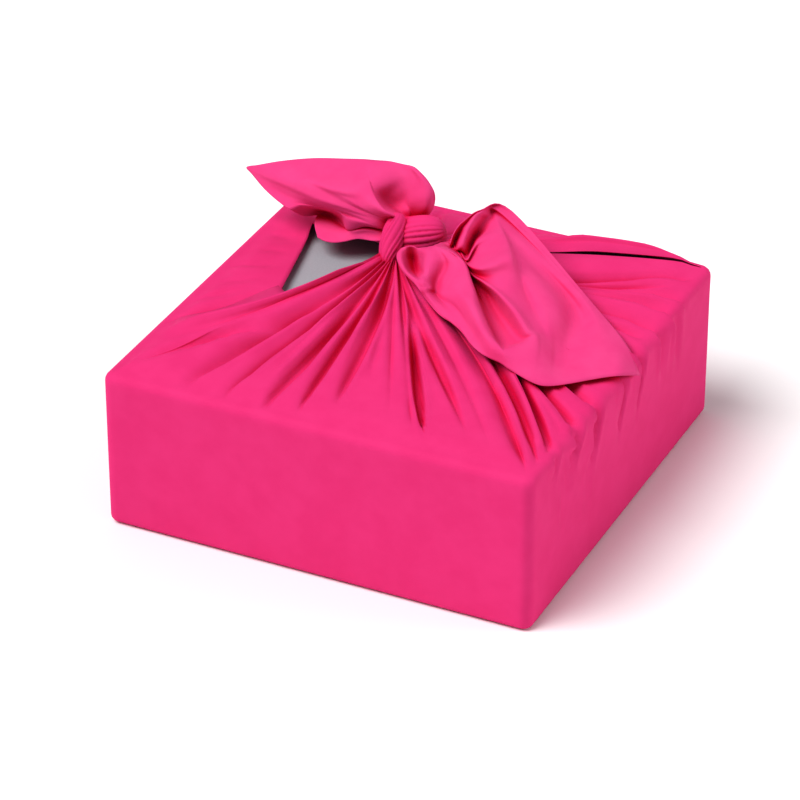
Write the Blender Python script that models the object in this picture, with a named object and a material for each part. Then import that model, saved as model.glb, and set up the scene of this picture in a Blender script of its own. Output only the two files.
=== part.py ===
"""Furoshiki wrap: one square cloth drawn up round a square gift box and tied over its lid.

Metres, +Z up. The origin is the bottom centre of the parcel, +X runs along its front from left to
right and +Y runs to the back. Every size in the tables below is in millimetres.
"""

import math

import bmesh
import bpy
from mathutils import Vector

MM = 0.001

# The gift box, and the cloth drawn tight over it
BOX_SIDE = 300.0
BOX_HEIGHT = 109.0
BOX_SOFT_EDGE = 2.8
CLOTH = 2.0
SEAT_GAP = 0.3
HALF = BOX_SIDE / 2 + SEAT_GAP + CLOTH
TOP = BOX_HEIGHT + 2 * (SEAT_GAP + CLOTH)
SIDE = 2 * HALF
TOP_EDGE = 4.0
UPRIGHT_EDGE = 5.0
BOTTOM_EDGE = 4.6

# Where the cloth is gathered under the knot, and how far it climbs from the lid to get there
NECK_X, NECK_Y = -34.0, 51.0
NECK_WIDE, NECK_DEEP = 12.0, 13.5
NECK_RISE = 15.0
CLIMB_POWER = 1.3
LOOSE = 2.2

# Turn of the cloth round the neck, in degrees from +X, against its place on the parcel's rim
NECK_TURNS = (
    # edge, along, turn
    ("front", -152.3, 222.0),
    ("front", 0.0, 258.0),
    ("front", 152.3, 300.0),
    ("right", 0.0, 340.0),
    ("right", 147.0, 368.0),
    ("back", 149.0, 388.0),
    ("back", 0.0, 445.0),
    ("back", -152.3, 500.0),
    ("left", 87.0, 515.0),
    ("left", -82.0, 575.0),
)

# The two openings between the front and the rear of the cloth, each from the knot outwards.
# The left one is a triangle whose far side is a hem across the lid; the right one is a lens.
LEFT_FRONT = ("left", -82.0)
LEFT_REAR = ("left", 87.0)
LEFT_HEM = ((-91.0, -25.0), (-100.0, 16.0), (-107.0, 48.0), (-115.0, 80.0))
RIGHT_FRONT = ("right", 147.0)
RIGHT_REAR = ("back", 149.0)

# Sideways bows of the cloth's run from the neck to the rim, positive to the left of its course.
# Reach says how far round the rim each one fades, clockwise and anticlockwise of its place.
BOWS = (
    # edge, along, bow, reach clockwise, reach anticlockwise
    ("right", -125.0, 17.0, 45.0, 45.0),
    ("right", 147.0, -12.0, 45.0, 0.0),
    ("back", 149.0, 20.0, 0.0, 60.0),
    ("left", -82.0, 15.0, 0.0, 50.0),
)

# Troughs of the folds. Each runs from the neck to its place on the rim; short is how far before
# the rim it dies away, and is negative where it goes over the edge and down the side.
FOLDS = (
    # name, edge, along, depth, half width, short, fade
    ("front_corner", "front", -137.0, 3.0, 12.0, 46.0, 70.0),
    ("front_1", "front", -102.0, 7.5, 8.0, 6.0, 75.0),
    ("front_2", "front", -69.0, 6.5, 6.5, 2.0, 70.0),
    ("front_3", "front", -39.0, 7.5, 7.0, 4.0, 75.0),
    ("front_4", "front", -18.0, 6.0, 5.5, 12.0, 60.0),
    ("front_5", "front", 5.0, 5.0, 6.5, 34.0, 60.0),
    ("front_6", "front", 40.0, 2.5, 9.0, 60.0, 60.0),
    ("front_7", "front", 68.0, 4.5, 5.0, 32.0, 45.0),
    ("front_slit", "front", 79.0, 7.0, 3.6, 24.0, 35.0),
    ("front_8", "front", 116.0, 4.5, 6.0, 48.0, 50.0),
    ("front_9", "front", 132.0, 2.5, 5.0, 42.0, 45.0),
    ("corner_1", "front", 149.0, 6.0, 5.5, 20.0, 50.0),
    ("corner_2", "right", -136.0, 6.0, 4.0, 5.0, 40.0),
    ("corner_3", "right", -123.0, 6.0, 3.8, 2.0, 35.0),
    ("right_1", "right", -82.0, 5.0, 5.5, -50.0, 45.0),
    ("right_2", "right", -51.0, 4.5, 5.0, -52.0, 45.0),
    ("right_3", "right", -8.0, 4.5, 7.0, -46.0, 45.0),
    ("right_4", "right", 18.0, 3.5, 6.0, -24.0, 35.0),
    ("right_5", "right", 39.0, 3.5, 6.0, -30.0, 35.0),
    ("right_6", "right", 64.0, 3.5, 6.0, -34.0, 40.0),
    ("right_7", "right", 87.0, 4.0, 6.0, -8.0, 35.0),
    ("right_8", "right", 112.0, 4.0, 7.0, -4.0, 40.0),
    ("back_1", "back", 112.0, 3.0, 9.0, 10.0, 50.0),
    ("back_2", "back", 72.0, 4.0, 9.0, 6.0, 60.0),
    ("back_3", "back", 34.0, 5.0, 8.0, 2.0, 60.0),
    ("back_4", "back", -4.0, 5.0, 8.0, 8.0, 60.0),
    ("back_5", "back", -44.0, 5.0, 9.0, 0.0, 60.0),
    ("back_6", "back", -88.0, 4.0, 10.0, 12.0, 60.0),
    ("back_corner", "back", -132.0, 3.0, 10.0, 30.0, 60.0),
    ("left_1", "left", 112.0, 3.5, 9.0, 6.0, 50.0),
    ("left_2", "left", 56.0, 2.0, 10.0, 8.0, 40.0),
    ("left_3", "left", 8.0, 2.0, 10.0, 4.0, 40.0),
    ("left_4", "left", -44.0, 2.0, 9.0, 8.0, 40.0),
    ("left_5", "left", -104.0, 4.0, 8.0, 22.0, 70.0),
)

# Rolls that stand up from the cloth along its free edges, each centred on a course from the neck
ROLLS = (
    # edge, along, height, half width, from, to (parts of the way from the neck to the rim)
    ("back", 128.0, 7.0, 20.0, 0.45, 1.06),
    ("left", -94.0, 4.5, 8.0, 0.05, 0.90),
    ("right", 138.0, 1.5, 7.0, 0.30, 0.95),
)

# Steps from the neck to the hem line of the openings, then on to the rim, as parts of each way
INNER_STEPS = (0.0, 0.13, 0.30, 0.50, 0.74, 1.0)
OUTER_STEPS = (0.28, 0.55, 0.80, 1.0)
MIDWAY = 0.50
EDGE_STEPS = 3
SIDE_DROPS = (9.0, 24.0, 46.0, 72.0)
MOST_SPACING = 26.0
LEAST_SPACING = 2.6

# Knot: swollen pleated lobes whose pleats run from one pole to the other
LOBES = (
    # name, centre, half length, half height, half depth, first pole direction, pleats, pleat depth
    ("left_strand", (-40.0, 51.0, 23.0), 20.0, 12.0, 8.2, (0.08, -0.62, -0.78), 8, 1.0),
    ("right_band", (-27.0, 65.0, 23.5), 18.5, 13.5, 14.5, (-0.86, -0.48, -0.20), 8, 1.1),
    ("rear_band", (-33.0, 72.0, 21.0), 19.0, 12.0, 11.0, (-0.95, 0.10, -0.20), 8, 0.8),
)
LOBE_RINGS = 9
LOBE_SIDES = 24

# Free end that falls to the right over the lid's edge, a row for each fold from one hem to the other
RIGHT_END = (
    # fold, root, shoulder, middle, lower, hem (x, y, height over the parcel's top)
    ("left_hem", (-30, 40, 20), (-20, 27, 17), (0, 10, 15), (18, -5, 13), (32, -12, 12)),
    ("hollow", (-26, 46, 20), (-15, 32, 18), (5, 10, 17), (25, -4, 14), (40, -14, 12)),
    ("brow", (-20, 54, 24), (-5, 38, 32), (15, 16, 27), (33, -5, 18), (48, -22, 11)),
    ("lip", (-16, 60, 24), (5, 40, 34), (35, 10, 32), (58, -20, 24), (70, -36, 12)),
    ("pocket", (-10, 62, 24), (12, 45, 26), (45, 18, 13), (80, -30, 16), (92, -45, 8)),
    ("inner_crest", (-7, 64, 24), (20, 42, 26), (58, 14, 21), (95, -22, 18), (114, -52, 7)),
    ("facet", (-6, 66, 25), (20, 58, 25), (65, 18, 23), (103, -16, 13), (123, -46, 6)),
    ("peak", (-6, 67, 25), (20, 65, 31), (65, 28, 32), (104, -4, 16), (131, -37, 6)),
    ("valley", (-5, 68, 26), (20, 72, 31), (70, 50, 22), (112, 10, 10), (140, -27, 6)),
    ("apron", (-5, 69, 27), (20, 82, 37), (75, 60, 24), (125, 14, 13), (150, -18, 6)),
    ("right_hem", (-5, 70, 28), (20, 90, 40), (85, 65, 18), (148, 20, 8), (159, 8, -7)),
)

# Free end that stands up to the left, from its loop by the knot round to the fold below its tip
LEFT_END = (
    # fold, root, shoulder, middle, hem
    ("loop_edge", (-29, 77, 28), (-25, 80, 40), (-30, 85, 53), (-42, 90, 60)),
    ("loop_crest", (-34, 75, 28), (-32, 75, 40), (-36, 80, 54), (-50, 90, 61)),
    ("dark_valley", (-38, 73, 28), (-46, 82, 34), (-57, 92, 44), (-62, 93, 60)),
    ("funnel_rim", (-42, 71, 28), (-48, 64, 39), (-62, 67, 50), (-86, 89, 57)),
    ("upper_field", (-43, 67, 28), (-58, 64, 38), (-85, 73, 44), (-112, 90, 52)),
    ("main", (-45, 63, 28), (-65, 60, 37), (-105, 66, 42), (-145, 82, 45)),
    ("tip", (-46, 60, 28), (-70, 57, 36), (-118, 65, 37), (-168, 86, 34)),
    ("lower_hem", (-47, 58, 27), (-70, 56, 32), (-110, 62, 31), (-147, 72, 28)),
    ("fold_crest", (-48, 56, 26), (-70, 56, 28), (-100, 67, 27), (-124, 61, 22)),
    ("underside", (-48, 56, 24), (-72, 61, 18), (-98, 75, 12), (-111, 75, 13)),
    ("lobe", (-49, 55, 22), (-67, 56, 15), (-84, 55, 12), (-100, 58, 10)),
)
END_CLOTH = 1.6
RAY_STEPS = 3
RUN_STEPS = 4

PINK = (0.80, 0.02, 0.20, 1.0)
GREY_CARD = (0.42, 0.43, 0.46, 1.0)


def smooth(value):
    """Eases 0..1 and holds the ends."""
    value = min(max(value, 0.0), 1.0)
    return value * value * (3 - 2 * value)


def mix(first, second, part):
    return first + (second - first) * part


def rim_place(edge, along):
    """Distance round the parcel's rim, anticlockwise from its front left corner."""
    run = along if edge in ("front", "right") else -along
    return ("front", "right", "back", "left").index(edge) * SIDE + HALF + run


def rim_gap(place, other):
    """Signed shortest distance round the rim from other to place."""
    return (place - other + 2 * SIDE) % (4 * SIDE) - 2 * SIDE


def outline(place, inset):
    """Plan point on the parcel's square outline with round corners, drawn in by inset."""
    edge, run = divmod(place % (4 * SIDE), SIDE)
    run -= HALF
    x, y = ((run, -HALF), (HALF, run), (-run, HALF), (-HALF, -run))[int(edge)]
    core = HALF - UPRIGHT_EDGE
    core_x, core_y = max(-core, min(core, x)), max(-core, min(core, y))
    scale = (UPRIGHT_EDGE - inset) / math.hypot(x - core_x, y - core_y)
    return core_x + (x - core_x) * scale, core_y + (y - core_y) * scale


def neck_point(place):
    """Plan point on the gathered neck for a place on the rim."""
    stops = [(rim_place(edge, along), turn) for edge, along, turn in NECK_TURNS]
    stops.append((stops[0][0] + 4 * SIDE, stops[0][1] + 360.0))
    place %= 4 * SIDE
    for (start, low), (end, high) in zip(stops, stops[1:]):
        if start <= place <= end:
            turn = math.radians(mix(low, high, (place - start) / (end - start)))
            return NECK_X + NECK_WIDE * math.cos(turn), NECK_Y + NECK_DEEP * math.sin(turn)
    raise ValueError("place is off the rim")


def hem_part(place):
    """Where the openings' hem line crosses the cloth's run from the neck to the rim, 0..1."""
    start = neck_point(place)
    end = outline(place, TOP_EDGE)
    run = (end[0] - start[0], end[1] - start[1])
    for near, far in zip(LEFT_HEM, LEFT_HEM[1:]):
        side = (far[0] - near[0], far[1] - near[1])
        cross = run[0] * side[1] - run[1] * side[0]
        out = (near[0] - start[0], near[1] - start[1])
        part = (out[0] * side[1] - out[1] * side[0]) / cross
        along = (out[0] * run[1] - out[1] * run[0]) / cross
        if -0.05 <= along <= 1.05 and 0 < part < 1:
            return part
    return MIDWAY


def midway(place):
    """Part of the way to the rim at which the ring of the hem line lies, eased either side."""
    first, last = rim_place(*LEFT_REAR), rim_place(*LEFT_FRONT)
    middle, span = (first + last) / 2, (last - first) / 2
    beyond = abs(rim_gap(place, middle)) - span
    if beyond <= 0:
        return hem_part(place)
    end = last - 0.5 if rim_gap(place, middle) > 0 else first + 0.5
    return mix(hem_part(end), MIDWAY, smooth(beyond / 70.0))


def climb(place):
    """How much of the neck's rise the cloth takes at a place: none where a hem lies on the lid."""
    first, last = rim_place(*LEFT_REAR), rim_place(*LEFT_FRONT)
    inside = min(rim_gap(place, first), rim_gap(last, place))
    return 1 - smooth(inside / 22.0)


def press(place, part, short_of_rim):
    """How far the folds draw the cloth in."""
    total = 0.0
    for _, edge, along, depth, half_width, short, fade in FOLDS:
        across = rim_gap(place, rim_place(edge, along)) / half_width
        if abs(across) < 3:
            start = smooth((part + 0.04) / 0.30) * 0.75 + 0.25
            end = smooth((short_of_rim - short) / fade)
            total += depth * math.exp(-across * across) * start * end
    return total


def rolled(place, part):
    """Height of the rolls along the free edges."""
    total = 0.0
    for edge, along, height, half_width, start, end in ROLLS:
        across = rim_gap(place, rim_place(edge, along)) / half_width
        swell = smooth((part - start) / 0.2) * smooth((end - part) / 0.2)
        total += height * math.exp(-across * across) * swell
    return total


def bowed(place, part):
    total = 0.0
    for edge, along, bow, clockwise, anticlockwise in BOWS:
        gap = rim_gap(place, rim_place(edge, along))
        reach = clockwise if gap < 0 else anticlockwise
        if reach and abs(gap) > 0.01:
            total += bow * math.exp(-((gap / reach) ** 2))
        elif abs(gap) <= 0.01:
            total += bow
    return total * 4 * part * (1 - part)


def looseness(place, short_of_rim):
    """Slack of the cloth off the box: all of it on the lid, and some down the right side."""
    if short_of_rim >= 0:
        return LOOSE
    right = smooth((110.0 - abs(rim_gap(place, rim_place("right", -5.0)))) / 50.0)
    return LOOSE * right * smooth(1 + short_of_rim / 70.0)


def lid_point(place, part):
    """(outer, inner) points of the cloth over the lid, part of the way from the neck to the rim."""
    start = neck_point(place)
    end = outline(place, TOP_EDGE)
    run = (end[0] - start[0], end[1] - start[1])
    length = math.hypot(*run)
    bow = bowed(place, part) / length
    x = mix(start[0], end[0], part) - run[1] * bow
    y = mix(start[1], end[1], part) + run[0] * bow
    short_of_rim = (1 - part) * length
    slack = LOOSE * smooth(short_of_rim / 30.0)
    rise = NECK_RISE * climb(place) * (1 - part) ** CLIMB_POWER
    rise += slack + rolled(place, part) - press(place, part, short_of_rim)
    z = TOP + max(rise, 0.0)
    return (x, y, z), (x, y, z - CLOTH)


def side_point(place, turn, drop):
    """(outer, inner) points round the top edge (turn 0..90 degrees) and down the side by drop."""
    inset = TOP_EDGE * (1 - math.sin(turn))
    over = TOP_EDGE * turn + drop
    away = looseness(place, -over) + rolled(place, 1.0) * (1 - smooth(drop / 12.0))
    away = max(away - press(place, 1.0, -over), 0.0) * smooth(over / 3.0)
    z = TOP - TOP_EDGE * (1 - math.cos(turn)) - drop
    pair = []
    for depth in (0.0, CLOTH):
        out = (away - depth) * math.sin(turn)
        x, y = outline(place, inset - out)
        pair.append((x, y, z + (away - depth) * math.cos(turn)))
    return tuple(pair)


def foot_point(place, turn):
    """(outer, inner) points round the bottom edge, turn 0..90 degrees."""
    pair = []
    for depth in (0.0, CLOTH):
        radius = BOTTOM_EDGE - depth
        inset = BOTTOM_EDGE - radius * math.cos(turn)
        x, y = outline(place, inset)
        pair.append((x, y, BOTTOM_EDGE - radius * math.sin(turn)))
    return tuple(pair)


def rim_places():
    """Places round the rim for the mesh's columns: closest at the folds, corners and openings."""
    fixed = [rim_place(*end) for end in (LEFT_FRONT, LEFT_REAR, RIGHT_FRONT, RIGHT_REAR)]
    wanted = [(place, 0) for place in fixed]
    for _, edge, along, _, half_width, _, _ in FOLDS:
        middle = rim_place(edge, along)
        wanted.append((middle, 1))
        wanted += [(middle + side * half_width, 2) for side in (-1.15, 1.15)]
    for edge in range(4):
        wanted += [(edge * SIDE + step, 1) for step in (0.0, UPRIGHT_EDGE, SIDE - UPRIGHT_EDGE)]
    kept = []
    for place, _ in sorted(wanted, key=lambda pair: pair[1]):
        place %= 4 * SIDE
        if all(abs(rim_gap(place, other)) >= LEAST_SPACING for other in kept):
            kept.append(place)
    kept.sort()
    filled = []
    for place, after in zip(kept, kept[1:] + [kept[0] + 4 * SIDE]):
        steps = math.ceil((after - place) / MOST_SPACING)
        filled += [(place + (after - place) * step / steps) % (4 * SIDE) for step in range(steps)]
    return sorted(filled)


def column(place):
    """The cloth's run at one place of the rim, from the neck to the bottom edge."""
    middle = midway(place)
    pairs = [lid_point(place, middle * step) for step in INNER_STEPS]
    pairs += [lid_point(place, mix(middle, 1.0, step)) for step in OUTER_STEPS]
    pairs += [side_point(place, math.pi / 2 * step / EDGE_STEPS, 0.0) for step in range(1, EDGE_STEPS + 1)]
    pairs += [side_point(place, math.pi / 2, drop) for drop in SIDE_DROPS]
    pairs += [foot_point(place, math.pi / 2 * step / 3) for step in range(4)]
    return pairs


def closed_sheet(name, outer, inner, faces):
    """One closed body between two matching skins: outer faces, inner faces and the rims between."""
    count = len(outer)
    skin = [tuple(face) for face in faces]
    back = [tuple(index + count for index in reversed(face)) for face in skin]
    edges = {}
    for face in skin:
        for first, second in zip(face, face[1:] + face[:1]):
            edges[(first, second)] = True
    rims = [
        (second, first, first + count, second + count)
        for first, second in edges
        if (second, first) not in edges
    ]
    return mesh_object(name, outer + inner, skin + back + rims)


def mesh_object(name, points, faces):
    """A named object from points in millimetres, without the points that no face uses."""
    used = sorted({index for face in faces for index in face})
    number = {index: place for place, index in enumerate(used)}
    mesh = bpy.data.meshes.new(name)
    mesh.from_pydata(
        [Vector(points[index]) * MM for index in used],
        [],
        [tuple(number[index] for index in face) for face in faces],
    )
    bm = bmesh.new()
    bm.from_mesh(mesh)
    bmesh.ops.triangulate(bm, faces=bm.faces, quad_method="BEAUTY", ngon_method="BEAUTY")
    bmesh.ops.recalc_face_normals(bm, faces=bm.faces)
    bm.to_mesh(mesh)
    bm.free()
    mesh.shade_smooth()
    item = bpy.data.objects.new(name, mesh)
    bpy.context.collection.objects.link(item)
    return item


def body_skin():
    """The cloth under the box, up its sides and over the lid to the knot, with both openings."""
    places = rim_places()
    columns = [column(place) for place in places]
    rows, count = len(columns[0]), len(columns)
    outer = [pair[0] for run in columns for pair in run]
    inner = [pair[1] for run in columns for pair in run]
    left_first, left_last = rim_place(*LEFT_REAR), rim_place(*LEFT_FRONT)
    right_first = rim_place(*RIGHT_FRONT)
    faces = []
    for index, place in enumerate(places):
        after = (index + 1) % count
        open_rows = 0
        if left_first - 0.01 <= place < left_last - 0.01:
            open_rows = len(INNER_STEPS) - 1
        if abs(place - right_first) < 0.01:
            open_rows = len(INNER_STEPS) + len(OUTER_STEPS) - 1
        for row in range(open_rows, rows - 1):
            corner, beside = index * rows + row, after * rows + row
            faces.append((corner, corner + 1, beside + 1, beside))
    faces.append(tuple(index * rows + rows - 1 for index in reversed(range(count))))
    return closed_sheet("cloth", outer, inner, faces)


def through(points, steps):
    """Points along a smooth curve through the given ones, steps to each stretch."""
    points = [Vector(point) for point in points]
    ends = [2 * points[0] - points[1]] + points + [2 * points[-1] - points[-2]]
    found = []
    for index in range(1, len(ends) - 2):
        before, start, end, after = ends[index - 1 : index + 3]
        for step in range(steps):
            t = step / steps
            found.append(
                0.5
                * (
                    2 * start
                    + (end - before) * t
                    + (2 * before - 5 * start + 4 * end - after) * t**2
                    + (3 * start - before - 3 * end + after) * t**3
                )
            )
    return found + [points[-1]]


def free_end(name, folds):
    """A tied end of the cloth: a sheet that runs through each fold's course, hem to hem."""
    runs = [through(fold[1:], RUN_STEPS) for fold in folds]
    grid = list(zip(*[through(ring, RAY_STEPS) for ring in zip(*runs)]))
    across, along = len(grid), len(grid[0])
    front, back = [], []
    for i, run in enumerate(grid):
        for j, point in enumerate(run):
            side = grid[min(i + 1, across - 1)][j] - grid[max(i - 1, 0)][j]
            down = run[min(j + 1, along - 1)] - run[max(j - 1, 0)]
            normal = side.cross(down).normalized() * END_CLOTH / 2
            place = point + Vector((0, 0, TOP))
            front.append(place + normal)
            back.append(place - normal)
    faces = [
        (i * along + j, i * along + j + 1, (i + 1) * along + j + 1, (i + 1) * along + j)
        for i in range(across - 1)
        for j in range(along - 1)
    ]
    return closed_sheet(name, front, back, faces)


def lobe(name, centre, length, height, depth, pole, pleats, pleat_depth):
    """A swollen lobe of the knot, with pleats running from pole to pole."""
    axis = Vector(pole).normalized()
    across = axis.cross(Vector((0, 0, 1))).normalized()
    upward = across.cross(axis).normalized()
    middle = Vector(centre) + Vector((0, 0, TOP))
    points = [middle + axis * length]
    for ring in range(1, LOBE_RINGS):
        tilt = math.pi * ring / LOBE_RINGS
        for side in range(LOBE_SIDES):
            turn = 2 * math.pi * side / LOBE_SIDES
            swell = 1 + pleat_depth / height * math.cos(pleats * turn) * math.sin(tilt)
            out = math.sin(tilt) ** 0.8 * swell
            points.append(
                middle
                + axis * length * math.cos(tilt)
                + across * depth * out * math.cos(turn)
                + upward * height * out * math.sin(turn)
            )
    points.append(middle - axis * length)
    faces = []
    last = len(points) - 1
    for side in range(LOBE_SIDES):
        after = (side + 1) % LOBE_SIDES
        faces.append((0, 1 + side, 1 + after))
        for ring in range(LOBE_RINGS - 2):
            low, high = 1 + ring * LOBE_SIDES, 1 + (ring + 1) * LOBE_SIDES
            faces.append((low + side, high + side, high + after, low + after))
        low = 1 + (LOBE_RINGS - 2) * LOBE_SIDES
        faces.append((low + side, last, low + after))
    return mesh_object(name, points, faces)


def join(target, others):
    """Unites pieces of the one cloth into its solid; the others stay as hidden helpers."""
    for other in others:
        other.hide_render = True
        other.display_type = "WIRE"
        union = target.modifiers.new(other.name, "BOOLEAN")
        union.operation = "UNION"
        union.solver = "EXACT"
        union.object = other


def gift_box():
    """The rigid box inside, a plain block with soft edges."""
    bm = bmesh.new()
    bmesh.ops.create_cube(bm, size=1.0)
    bmesh.ops.scale(bm, vec=Vector((BOX_SIDE, BOX_SIDE, BOX_HEIGHT)) * MM, verts=bm.verts)
    mesh = bpy.data.meshes.new("box")
    bm.to_mesh(mesh)
    bm.free()
    item = bpy.data.objects.new("box", mesh)
    item.location.z = (CLOTH + SEAT_GAP + BOX_HEIGHT / 2) * MM
    bpy.context.collection.objects.link(item)
    bevel = item.modifiers.new("soft_edges", "BEVEL")
    bevel.width = BOX_SOFT_EDGE * MM
    bevel.segments = 3
    return item


def finish(item, name, colour, roughness, sheen):
    material = bpy.data.materials.new(name)
    material.use_nodes = True
    shader = material.node_tree.nodes["Principled BSDF"]
    shader.inputs["Base Color"].default_value = colour
    shader.inputs["Roughness"].default_value = roughness
    shader.inputs["Sheen Weight"].default_value = sheen
    shader.inputs["Metallic"].default_value = 0.0
    item.data.materials.append(material)


def main():
    for item in list(bpy.data.objects):
        bpy.data.objects.remove(item)
    cloth = body_skin()
    pieces = [lobe(*row) for row in LOBES]
    pieces += [free_end("right_end", RIGHT_END), free_end("left_end", LEFT_END)]
    join(cloth, pieces)
    finish(cloth, "pink_fabric", PINK, 0.65, 0.4)
    finish(gift_box(), "grey_card", GREY_CARD, 0.8, 0.0)


main()
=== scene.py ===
"""Looks of the furoshiki wrap: one pink cloth drawn up round a grey gift box and tied over its lid.

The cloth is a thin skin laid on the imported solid's folds, with finer creases of its own. Its sizes
are in millimetres in the part's frame: the origin is the bottom centre of the parcel, +X runs along
its front from left to right, +Y runs to the back and +Z is up. Only the free ends' folds are laid
out in the camera's view instead. Materials, floor and camera are in metres.
"""

import math

import bpy
import numpy as np
from mathutils import Matrix, Vector


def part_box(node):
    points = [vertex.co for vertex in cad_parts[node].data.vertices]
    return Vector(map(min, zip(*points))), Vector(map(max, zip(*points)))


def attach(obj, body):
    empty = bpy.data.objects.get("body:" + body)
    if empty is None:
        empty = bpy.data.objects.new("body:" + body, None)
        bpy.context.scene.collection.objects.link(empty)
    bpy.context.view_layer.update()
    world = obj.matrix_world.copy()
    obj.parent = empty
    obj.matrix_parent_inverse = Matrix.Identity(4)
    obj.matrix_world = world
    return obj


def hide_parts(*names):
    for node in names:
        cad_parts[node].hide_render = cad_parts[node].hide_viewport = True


MM = 0.001
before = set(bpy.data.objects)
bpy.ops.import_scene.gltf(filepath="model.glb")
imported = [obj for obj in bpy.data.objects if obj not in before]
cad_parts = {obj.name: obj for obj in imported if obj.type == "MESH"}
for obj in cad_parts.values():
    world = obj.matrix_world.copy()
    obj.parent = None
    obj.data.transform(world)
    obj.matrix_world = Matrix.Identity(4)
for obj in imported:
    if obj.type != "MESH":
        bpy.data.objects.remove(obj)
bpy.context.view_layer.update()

# The parcel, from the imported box: the cloth's outer face lies OFF_CARD off the card, and its square
# outline is SIDE along each side and GIRTH all round
OFF_CARD = 2.3
BOX_HIGH = np.array(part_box("box")[1]) / MM
HALF = BOX_HIGH[0] + OFF_CARD
TOP = BOX_HIGH[2] + OFF_CARD
SIDE = 2 * HALF
GIRTH = 4 * SIDE

# Radii of the cloth's round edges, and its thickness
TOP_EDGE, UPRIGHT_EDGE, BOTTOM_EDGE = 6.6, 7.2, 5.0
CLOTH = 0.6

# How far the cloth may sink towards the card, the softness of that limit, and the share of it that
# is held back half way round the top edge
DEEPEST, SOFTNESS, EDGE_HOLD = 1.3, 0.6, 0.9

# Where the cloth is gathered under the knot, how far it climbs from the lid to get there, and how far
# inside the left opening it has stopped climbing
NECK_X, NECK_Y = -34.0, 51.0
NECK_WIDE, NECK_DEEP = 12.0, 13.5
NECK_RISE, CLIMB_POWER, CLIMB_EASE = 15.0, 1.3, 22.0

# Slack of the cloth off the box at its right side: how much, round which place, how far that goes
# either way, how softly it ends, and how far down it has gone
LOOSE, LOOSE_MIDDLE, LOOSE_REACH, LOOSE_EASE, LOOSE_DROP = 3.0, ("right", -5.0), 112.0, 50.0, 75.0

# Inside the rim the cloth rises off the lid by LIFT over LIFT_REACH, and past PUFF_FROM by PUFF times
# its slack as well
LIFT, LIFT_REACH = 3.2, 16.0
PUFF, PUFF_FROM, PUFF_EASE = 1.0, ("right", 18.0), 25.0

# The fan sinks by a share of its climb where the free ends leave the knot over it, between two
# places on the rim, and less and less from SINK_START over SINK_REACH of the way from the neck
SINK, SINK_START, SINK_REACH = 0.6, 0.04, 0.30
SINK_FROM, SINK_TO, SINK_EASE = ("front", 118.0), ("right", 140.0), 30.0

# Turn of the cloth round the neck, in degrees from +X, against its place on the parcel's rim
NECK_TURNS = (
    # edge, along, turn
    ("front", -152.3, 228.0),
    ("front", -100.0, 246.0),
    ("front", 0.0, 269.0),
    ("front", 80.0, 286.0),
    ("front", 152.3, 304.0),
    ("right", 0.0, 340.0),
    ("right", 147.0, 368.0),
    ("back", 149.0, 388.0),
    ("back", 0.0, 445.0),
    ("back", -152.3, 500.0),
    ("left", 87.0, 515.0),
    ("left", -82.0, 575.0),
)

# The two openings between the front and the rear of the cloth, each from the knot outwards
LEFT_FRONT = ("left", -82.0)
LEFT_REAR = ("left", 87.0)
LEFT_HEM = ((-91.0, -25.0), (-100.0, 16.0), (-107.0, 48.0), (-115.0, 80.0))
RIGHT_FRONT = ("right", 147.0)
RIGHT_REAR = ("back", 149.0)

# The mesh has one ring of points along the left opening's hem. Elsewhere that ring lies MIDWAY to the
# rim, which it reaches over HEM_EASE beside the opening. The hem's ends are read HEM_INSET inside the
# opening, and each stretch is HEM_OVERRUN of itself longer both ways, so that no run slips between
MIDWAY = 0.50
HEM_EASE, HEM_INSET, HEM_OVERRUN = 70.0, 0.5, 0.06

# Places on the rim closer than this are the same
SAME_PLACE = 0.01

# Sideways bows of the cloth's run from the neck to the rim, positive to the left of its course
BOWS = (
    # edge, along, bow, reach clockwise, reach anticlockwise
    ("right", -125.0, 17.0, 45.0, 45.0),
    ("right", 147.0, -12.0, 45.0, 0.0),
    ("back", 149.0, 20.0, 0.0, 60.0),
    ("left", -82.0, 15.0, 0.0, 50.0),
)

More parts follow.
